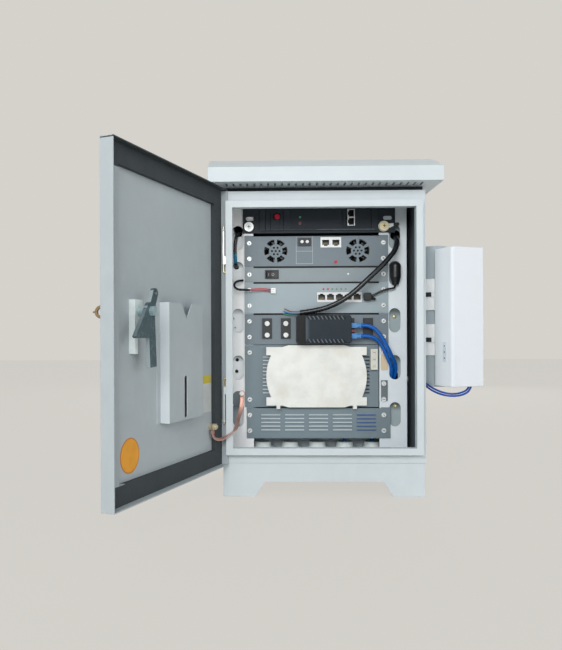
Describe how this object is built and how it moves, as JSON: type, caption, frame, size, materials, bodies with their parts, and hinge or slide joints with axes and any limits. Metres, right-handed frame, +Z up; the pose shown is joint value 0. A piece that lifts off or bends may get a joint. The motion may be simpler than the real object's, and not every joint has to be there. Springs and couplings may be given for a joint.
{
  "type": "roadside equipment cabinet",
  "caption": "Small steel roadside equipment cabinet on a plinth, with rain hood, hinged door held open, rack of network modules, wiring and a side-mounted panel antenna.",
  "frame": {"origin": "centre of the base anchor pattern, on the ground", "axes": "+X to the right seen from the front, +Y to the back, +Z up"},
  "size_m": [0.5882, 0.5447, 0.5385],
  "materials": {
    "cabinet_paint": "textured powder coat",
    "post_paint": "powder coat",
    "module_grey": "powder coat",
    "network_grey": "powder coat",
    "splice_grey": "powder coat",
    "controller_black": "powder coat",
    "door_inside": "powder coat",
    "zinc": "zinc plated",
    "steel": "bright",
    "blue_steel": "blue passivated",
    "bronze": "dull",
    "brass": "plated",
    "copper": "woven copper",
    "foam_black": "closed cell foam",
    "black_plastic": null,
    "dark_plastic": null,
    "white_plastic": null,
    "cream_plastic": null,
    "antenna_grey": null,
    "red_plastic": null,
    "lamp_plastic": null,
    "blue_plastic": null,
    "black_rubber": null,
    "blue_rubber": null,
    "red_rubber": null
  },
  "bodies": {
    "cabinet": {"cabinet_shell": "cabinet_paint", "plinth": "cabinet_paint", "hood_seal": "foam_black", "rain_hood": "cabinet_paint", "hood_vent_plate": "cabinet_paint", "rack_post_left": "post_paint", "rack_post_right": "post_paint", "hinge_barrels": "zinc", "controller_chassis": "controller_black", "controller_ports": "steel", "fan_panel": "module_grey", "fan_frames": "black_plastic", "fibre_adapter": "dark_plastic", "white_caps": "white_plastic", "ethernet_jacks": "white_plastic", "power_panel": "module_grey", "rocker_bezel": "black_plastic", "network_panel": "network_grey", "outlet_panel": "module_grey", "outlet_modules": "black_plastic", "poe_adapter": "black_plastic", "patch_plugs": "blue_plastic", "patch_cable_upper": "blue_rubber", "patch_cable_lower": "blue_rubber", "dc_plug": "dark_plastic", "dc_cord": "black_rubber", "inline_connector": "black_plastic", "power_cord": "black_rubber", "signal_jacket": "black_rubber", "thin_wires": "red_rubber", "loop_cable": "black_rubber", "splice_module": "splice_grey", "splice_tray": "cream_plastic", "terminal_block": "cream_plastic", "splice_ears": "cabinet_paint", "louvre_panel": "splice_grey", "cable_glands": "dark_plastic", "panel_screws": "zinc", "indicator_lamps": "lamp_plastic", "antenna_housing": "antenna_grey", "antenna_saddles": "white_plastic", "antenna_straps": "black_plastic", "antenna_pole": "cabinet_paint", "antenna_cable": "blue_rubber", "earth_braid": "copper"},
    "door": {"door_panel": "door_inside", "door_gasket": "foam_black", "document_pocket": "door_inside", "lock_housing": "zinc", "hinge_ears": "cabinet_paint", "door_earth_stud": "brass"},
    "lock": {"lock_cam": "blue_steel", "lock_spindle": "steel", "lock_key": "bronze"},
    "upper_pin": {"hinge_pin_upper": "steel"},
    "lower_pin": {"hinge_pin_lower": "steel"},
    "left_fan": {"fan_rotor_left": "black_plastic"},
    "right_fan": {"fan_rotor_right": "black_plastic"},
    "rocker": {"rocker_switch": "black_plastic"},
    "button": {"power_button": "red_plastic"}
  },
  "joints": [
    {"name": "door_swing", "type": "hinge", "parent": "cabinet", "child": "door", "pos_m": [-0.157, -0.1175, 0.27], "axis": [0, 0, 1], "range_deg": [0, 112], "deforming": ["earth_braid"]},
    {"name": "lock_turn", "type": "hinge", "parent": "door", "child": "lock", "pos_m": [-0.25076, -0.34957, 0.2847], "axis": [-0.9272, 0.3746, 0], "range_deg": [0, 62]},
    {"name": "upper_pin_slide", "type": "slide", "parent": "cabinet", "child": "upper_pin", "axis": [0, 0, -1], "range_m": [0, 0.007], "stiffness_N_per_m": 300, "springref_m": -0.01},
    {"name": "lower_pin_slide", "type": "slide", "parent": "cabinet", "child": "lower_pin", "axis": [0, 0, 1], "range_m": [0, 0.007], "stiffness_N_per_m": 300, "springref_m": -0.01},
    {"name": "left_fan_spin", "type": "hinge", "parent": "cabinet", "child": "left_fan", "pos_m": [-0.072, -0.031, 0.3958], "axis": [0, -1, 0], "continuous": true},
    {"name": "right_fan_spin", "type": "hinge", "parent": "cabinet", "child": "right_fan", "pos_m": [0.065, -0.031, 0.3958], "axis": [0, -1, 0], "continuous": true},
    {"name": "rocker_tilt", "type": "hinge", "parent": "cabinet", "child": "rocker", "pos_m": [-0.0787, -0.0395, 0.3565], "axis": [0, 0, 1], "range_deg": [-14, 0]},
    {"name": "button_press", "type": "slide", "parent": "cabinet", "child": "button", "axis": [0, 1, 0], "range_m": [0, 0.002], "stiffness_N_per_m": 200, "springref_m": -0.003}
  ]
}
